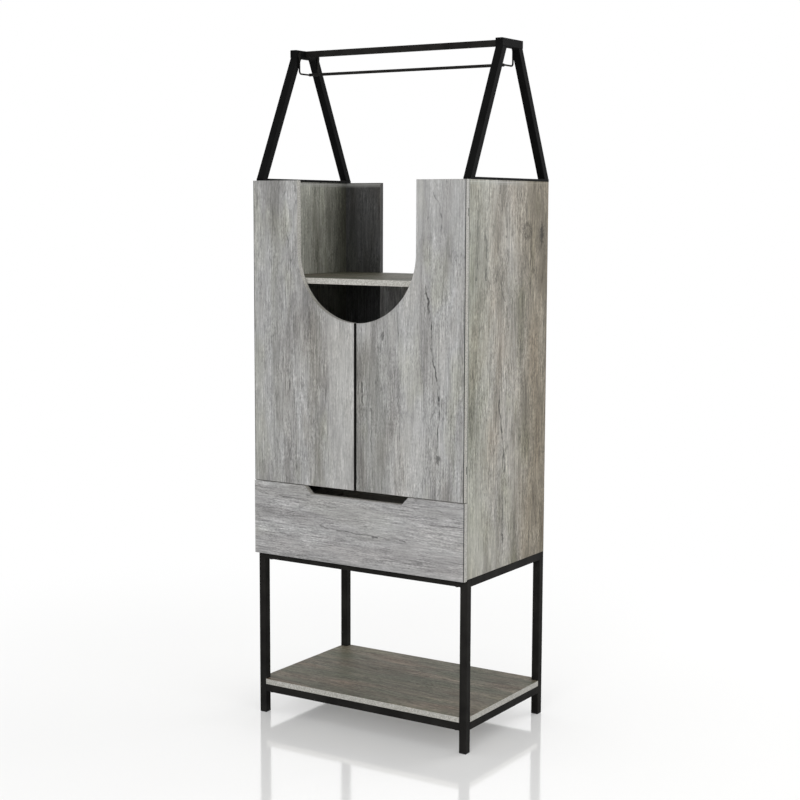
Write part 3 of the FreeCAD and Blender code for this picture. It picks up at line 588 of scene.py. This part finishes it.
finishes = {
    "black_steel": powderCoat("blackPowderCoat", standCoat), "zinc_steel": zincPlate(),
    "black_plastic": mouldedPlastic(),
}
for row in frame["record"]["subparts"]:
    if row["material_slot"] in finishes:
        wear(row["node"], finishes[row["material_slot"]])
shadedTopFrameCoat = powderCoat("shadedBlackPowderCoat", shadedTopCoat)
for nodeName in nodes:
    if "_aframe_" in nodeName:
        wear(nodeName, shadedTopFrameCoat)
print("metal and plastic dressed")


# Small steel pieces, in mm. A turned form is rings of points: each ring has a radius, which may change with
# the angle, and a height along the axis.
turnSteps = 48
around = np.linspace(0, 2 * np.pi, turnSteps, endpoint=False)
tiny = 1e-9                # keeps a division by zero out of the cross
crease = math.radians(40)  # edges sharper than this stay sharp


def hexSocket(half):  # radius of a hexagon with this half width across flats
    return half / np.cos((around + np.pi / 6) % (np.pi / 3) - np.pi / 6)


def crossSocket(arm, half):  # radius of a cross with this arm length and half width
    cosine, sine = np.abs(np.cos(around)) + tiny, np.abs(np.sin(around)) + tiny
    return np.maximum(np.minimum(arm / cosine, half / sine), np.minimum(arm / sine, half / cosine))


def circleAbout(axis, angles):  # directions across an axis at these angles, and the axis
    along = np.array(axis, float) / np.linalg.norm(axis)
    first = np.cross(along, (0, 0, 1) if abs(along[2]) < 0.9 else (0, 1, 0))
    first /= np.linalg.norm(first)
    second = np.cross(along, first)
    return np.cos(angles)[:, None] * first + np.sin(angles)[:, None] * second, along


def turnedRings(centre, axis, profile):  # the profile's (radius, height) pairs, turned about the axis
    radius = np.stack([np.broadcast_to(out, around.shape) for out, up in profile])
    height = np.array([up for out, up in profile])[:, None, None]
    across, along = circleAbout(axis, around)
    return np.array(centre) + radius[:, :, None] * across + height * along


def closedPiece(name, ringSets, body, slot):  # joins ring sets, each closed by a pole at both ends
    points, quads, fans, count = [], [], [], 0
    for rings in ringSets:
        rows, columns = rings.shape[:2]
        grid = np.arange(rows * columns).reshape(rows, columns)
        turned = np.roll(grid, -1, axis=1)
        first, last = rows * columns, rows * columns + 1
        square = np.stack([grid[:-1], turned[:-1], turned[1:], grid[1:]], -1).reshape(-1, 4)
        top = np.stack([np.full(columns, first), turned[0], grid[0]], -1)
        low = np.stack([np.full(columns, last), grid[-1], turned[-1]], -1)
        place = np.vstack([rings.reshape(-1, 3), rings[0].mean(0), rings[-1].mean(0)])
        tris = np.vstack([square[:, [0, 1, 2]], square[:, [0, 2, 3]], top, low])
        corner = (place - place.mean(0))[tris]
        if np.einsum("ij,ij->i", corner[:, 0], np.cross(corner[:, 1], corner[:, 2])).sum() < 0:
            square, top, low = square[:, ::-1], top[:, ::-1], low[:, ::-1]  # faces point outwards
        points.append(place)
        quads.append(square + count)
        fans += [top + count, low + count]
        count += len(place)
    mesh = bpy.data.meshes.new(name)
    mesh.from_pydata(np.vstack(points) * mm, [], np.vstack(quads).tolist() + np.vstack(fans).tolist())
    mesh.polygons.foreach_set("use_smooth", np.ones(len(mesh.polygons), bool))
    mesh.set_sharp_from_angle(angle=crease)
    mesh.materials.append(finishes[slot])
    piece = bpy.data.objects.new(name, mesh)
    scene.collection.objects.link(piece)
    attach(piece, body)
    return piece


# Button-head bolts with a hex socket, up through the rails. The dome is given as shares of the head's radius
# and height.
bolt = {
    "head": 5.5, "tall": 3.0, "edge": 0.1, "dome": [(0.68, 0.97), (0.82, 0.84), (0.93, 0.60), (0.99, 0.30)],
    "socket": 2.0, "deep": 1.7, "rim": 0.25, "shank": 3.0, "long": 32.0, "point": 0.6,
    "inset": 14.0, "stile": 7.5,  # from the rail's end, and from the upper rear rail's back into the stile
}


def frameBolts():
    head, tall, edge = bolt["head"], bolt["tall"], bolt["edge"]
    shank, long, point = bolt["shank"], bolt["long"], bolt["point"]
    socket = hexSocket(bolt["socket"])
    profile = [
        (socket, tall - bolt["deep"]), (socket, tall - edge), (socket + bolt["rim"], tall),
        *[(out * head, up * tall) for out, up in bolt["dome"]], (head, edge), (head, 0),
        (shank, 0), (shank, point - long), (shank - point, -long),
    ]
    rings = []
    for rail in ("upper_front_rail", "upper_rear_rail", "lower_front_rail", "lower_rear_rail"):
        low, high = inMm(rail)
        y = high[1] - bolt["stile"] if rail == "upper_rear_rail" else (low[1] + high[1]) / 2
        for x in (low[0] + bolt["inset"], high[0] - bolt["inset"]):
            rings.append(turnedRings((x, y, low[2]), (0, 0, -1), profile))
    piece = closedPiece("frameBolts", rings, "cabinet", "black_steel")
    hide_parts("frame_bolts")


# Flat-head screws, sunk flush in the foot strips of the top frames
stripScrew = {
    "head": 4.0, "tall": 2.0, "edge": 0.4, "arm": 2.3, "half": 0.5, "deep": 1.3, "taper": 0.8,
    "shank": 2.0, "long": 32.0, "point": 0.8, "tip": 0.4,
    "inset": 7.5, "apart": 130.0,  # from the strip's outer edge, and from its middle
}


def stripScrews():
    head, tall, edge = stripScrew["head"], stripScrew["tall"], stripScrew["edge"]
    shank, long = stripScrew["shank"], stripScrew["long"]
    socket = crossSocket(stripScrew["arm"], stripScrew["half"])
    profile = [
        (stripScrew["taper"] * socket, -stripScrew["deep"]), (socket, 0),
        (head - edge, 0), (head, -edge), (head, -tall),
        (shank, -tall), (shank, stripScrew["point"] - long), (stripScrew["tip"], -long),
    ]
    rings = []
    for side, sign in sides:
        low, high = inMm(side + "_aframe_strip")
        x = (high[0] if sign > 0 else low[0]) - sign * stripScrew["inset"]
        for end in (-1, 1):
            y = (low[1] + high[1]) / 2 + end * stripScrew["apart"]
            rings.append(turnedRings((x, y, high[2]), (0, 0, 1), profile))
    piece = closedPiece("stripScrews", rings, "cabinet", "black_steel")
    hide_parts("strip_screws")


# Pan heads with a cross recess, over the plain heads of the hinge screws. The dome is given as shares of the
# head's radius, with the drop below its top.
hingeScrew = {
    "head": 3.05, "tall": 1.5, "rim": 0.6, "dome": [(0.7, 0.03), (0.88, 0.18), (0.98, 0.5)],
    "floor": 1.05, "arm": 1.8, "half": 0.4, "taper": 0.9,
    "plain": 1.0,                                                           # height of the plain heads
    "leafHalf": 20.0, "apart": 12.0, "sideInset": 15.0, "doorInset": 9.55,  # places on the hinge leaves
}


def hingeScrews():
    head, tall, plain = hingeScrew["head"], hingeScrew["tall"], hingeScrew["plain"]
    socket = crossSocket(hingeScrew["arm"], hingeScrew["half"])
    profile = [
        (hingeScrew["taper"] * socket, hingeScrew["floor"]), (socket, tall),
        *[(out * head, tall - drop) for out, drop in hingeScrew["dome"]],
        (head, hingeScrew["rim"]), (head, 0),
    ]
    for side, sign in sides:
        low, high = inMm(side + "_hinge_side_leaves")
        x = (high[0] if sign < 0 else low[0]) + sign * plain
        y = high[1] - hingeScrew["sideInset"]
        hinges = (low[2] + hingeScrew["leafHalf"], high[2] - hingeScrew["leafHalf"])
        levels = [z + step * hingeScrew["apart"] for z in hinges for step in (-1, 1)]
        inner = [turnedRings((x, y, z), (-sign, 0, 0), profile) for z in levels]
        low, high = inMm(side + "_hinge_door_leaves")
        x = (high[0] if sign < 0 else low[0]) + sign * hingeScrew["doorInset"]
        y = high[1] - plain
        door = [turnedRings((x, y, z), (0, 1, 0), profile) for z in levels]
        closedPiece(side + "SideLeafScrews", inner, "cabinet", "zinc_steel")
        closedPiece(side + "DoorLeafScrews", door, side + "_door", "zinc_steel")


# Weld beads in the inside corners of the tube joints, under the same black coat. A bead is a ring carried
# along a straight joint, with a rippled radius and rounded ends. The rod ends in a turned collar of weld.
weld = {
    "size": 1.9, "small": 1.2, "clear": 1.6, "pitch": 2.4, "ripple": 0.10,
    "stepsPerRipple": 5, "leastSteps": 12, "endPower": 8, "endLeft": 0.02,
    "collar": [(3.9, -2.0), (4.2, -1.2), (4.3, -0.4), (3.8, 0.5), (2.4, 0.9)],  # radius, height past the rod
}


def beadRings(start, end, size):
    start, end = np.array(start, float), np.array(end, float)
    ripples = np.linalg.norm(end - start) / weld["pitch"]
    share = np.linspace(0, 1, max(weld["leastSteps"], int(ripples * weld["stepsPerRipple"])))
    rounded = np.sqrt(1 + weld["endLeft"] - (2 * share - 1) ** weld["endPower"])
    radius = size * (1 + weld["ripple"] * np.sin(2 * np.pi * share * ripples)) * rounded
    across = circleAbout(end - start, around[::4])[0]
    return (start + share[:, None] * (end - start))[:, None, :] + radius[:, None, None] * across


def leaningCut(tube, wide, tall):  # width along the strip of a leaning tube, from its thickness and its box
    share = (tube / tall) ** 2
    root = math.sqrt((share * wide) ** 2 + (1 - share) * (tube ** 2 + share * wide ** 2))
    return (root - share * wide) / (1 - share)


def barWelds(side, sign):  # where the top rail, the wire hanger and the rod meet one top bar
    clear, small = weld["clear"], weld["small"]
    barLow, barHigh = inMm(side + "_aframe_bar")
    barX = barHigh[0] if sign < 0 else barLow[0]
    low, high = inMm("top_rail")
    rings = [beadRings((barX, low[1] + clear, low[2]), (barX, high[1] - clear, low[2]), small)]
    for y in (low[1], high[1]):
        rings.append(beadRings((barX, y, low[2] + clear), (barX, y, high[2] - clear), small))
    low, high = inMm(side + "_wire_hanger")
    wire = high[0] - low[0]
    for y in (low[1], low[1] + wire, high[1] - wire, high[1]):
        rings.append(beadRings((barX, y, barLow[2] + clear), (barX, y, high[2] - clear), small))
    low, high = inMm("hanging_rod")
    rodX = low[0] if sign < 0 else high[0]
    middle = (low + high) / 2
    rings.append(turnedRings((rodX, middle[1], middle[2]), (sign, 0, 0), weld["collar"]))
    return rings


def legWelds(side, sign, end, turn):  # at both ends of a leaning leg, and where a stand leg meets its rails
    clear, size = weld["clear"], weld["size"]
    barLow, barHigh = inMm(side + "_aframe_bar")
    nearX, farX = (barHigh[0], barLow[0]) if sign < 0 else (barLow[0], barHigh[0])
    nearX, farX = nearX + sign * clear, farX - sign * clear
    low, high = inMm(side + "_aframe_" + end + "_leg")
    cut = leaningCut(barHigh[2] - barLow[2], *(high - low)[1:])
    footY, headY = (low[1] + cut, high[1]) if turn < 0 else (high[1] - cut, low[1])
    rings = [
        beadRings((nearX, footY, low[2]), (farX, footY, low[2]), size),
        beadRings((nearX, headY, high[2]), (farX, headY, high[2]), size),
    ]
    low, high = inMm(end + "_" + side + "_leg")
    faceX = high[0] if sign < 0 else low[0]
    faceY, backY = (high[1], low[1]) if turn < 0 else (low[1], high[1])
    for row in ("upper", "lower"):
        low, high = inMm(row + "_" + end + "_rail")
        rings += [
            beadRings((faceX, faceY, low[2] + clear), (faceX, faceY, high[2] - clear), size),
            beadRings((nearX, faceY, low[2]), (farX, faceY, low[2]), size),
            beadRings((faceX, faceY + turn * clear, low[2]), (faceX, backY - turn * clear, low[2]), size),
        ]
    return rings


def weldBeads():
    rings = []
    for side, sign in sides:
        rings += barWelds(side, sign)
        for end, turn in (("front", -1), ("rear", 1)):
            rings += legWelds(side, sign, end, turn)
    closedPiece("weldBeads", rings, "cabinet", "black_steel")


frameBolts()
stripScrews()
hingeScrews()
weldBeads()
print("screws, bolts and welds made")


# Floor: a pale, glossy lacquered board with clear reflections, and a white surround. Sizes are in metres.
ground = {
    "size": 30.0, "tone": "#f4f4f3", "roughness": 0.08, "ior": 1.75, "coat": 0.6,
    "lift": 0.24, "fade": (0.9, 2.2),  # glow towards the camera, and where the floor turns to plain white
}


def makeFloor():
    half = ground["size"] / 2
    corners = [(-half, -half, 0), (half, -half, 0), (half, half, 0), (-half, half, 0)]
    mesh = bpy.data.meshes.new("floor")
    mesh.from_pydata(corners, [], [(0, 1, 2, 3)])
    floor = bpy.data.objects.new("floor", mesh)
    scene.collection.objects.link(floor)
    material, add = newMaterial("paleGlossFloor")
    path = add("LightPath").outputs["Is Camera Ray"]
    lacquer = add("BsdfPrincipled", {
        "Base Color": linear(ground["tone"]), "Roughness": ground["roughness"], "IOR": ground["ior"],
        "Coat Weight": ground["coat"], "Coat Roughness": ground["roughness"], "Emission Color": white,
        "Emission Strength": add("Math", [path, ground["lift"]], operation="MULTIPLY"),
    })
    # Far from the object the camera sees plain white, so that the floor has no horizon
    away = add("VectorMath", [add("TexCoord").outputs["Object"]], operation="LENGTH")
    fade = add("MapRange", [away, *ground["fade"], 0, 1], interpolation_type="SMOOTHSTEP")
    fade = add("Math", [fade, path], operation="MULTIPLY")
    surround = add("Emission", {"Color": white, "Strength": 1.0})
    add("OutputMaterial", [add("MixShader", [fade, lacquer, surround])])
    mesh.materials.append(material)


# Light: a white world all round, and three round lamps. Places and sizes are in metres, power in watts.
studio = {
    "fill": 0.55,  # the world's light on the object; the camera and reflections see the world as plain white
    "lamps": [
        {"name": "frontLamp", "from": (1.4, -4.1, 1.75), "to": (0, 0, 1.0), "size": 2.6, "power": 61},
        {"name": "sideLamp", "from": (4.2, -1.2, 2.1), "to": (0, 0, 0.9), "size": 2.6, "power": 15},
        {"name": "backLamp", "from": (2.2, 3.6, 2.2), "to": (0, 0, 1.1), "size": 2.6, "power": 40},
    ],
}


def makeLight():
    world = bpy.data.worlds.new("studio")
    scene.world = world
    world.use_nodes = True
    world.node_tree.nodes.clear()
    add = partial(put, world.node_tree)
    path = add("LightPath").outputs
    seen = add("Math", [path["Is Camera Ray"], path["Is Glossy Ray"]], operation="MAXIMUM")
    seen = add("Math", [seen, path["Is Transmission Ray"]], operation="MAXIMUM")
    strength = add("MapRange", [seen, 0, 1, studio["fill"], 1.0])
    add("OutputWorld", [add("Background", {"Color": white, "Strength": strength})])
    for lamp in studio["lamps"]:
        data = bpy.data.lights.new(lamp["name"], "AREA")
        data.shape, data.size, data.energy = "DISK", lamp["size"], lamp["power"]
        piece = bpy.data.objects.new(lamp["name"], data)
        aim = Vector(lamp["to"]) - Vector(lamp["from"])
        turn = aim.to_track_quat("-Z", "Y").to_matrix()
        piece.matrix_world = Matrix.Translation(lamp["from"]) @ turn.to_4x4()
        scene.collection.objects.link(piece)


makeFloor()
makeLight()
scene.view_settings.view_transform = "Standard"
print("floor and light set")

print("done")
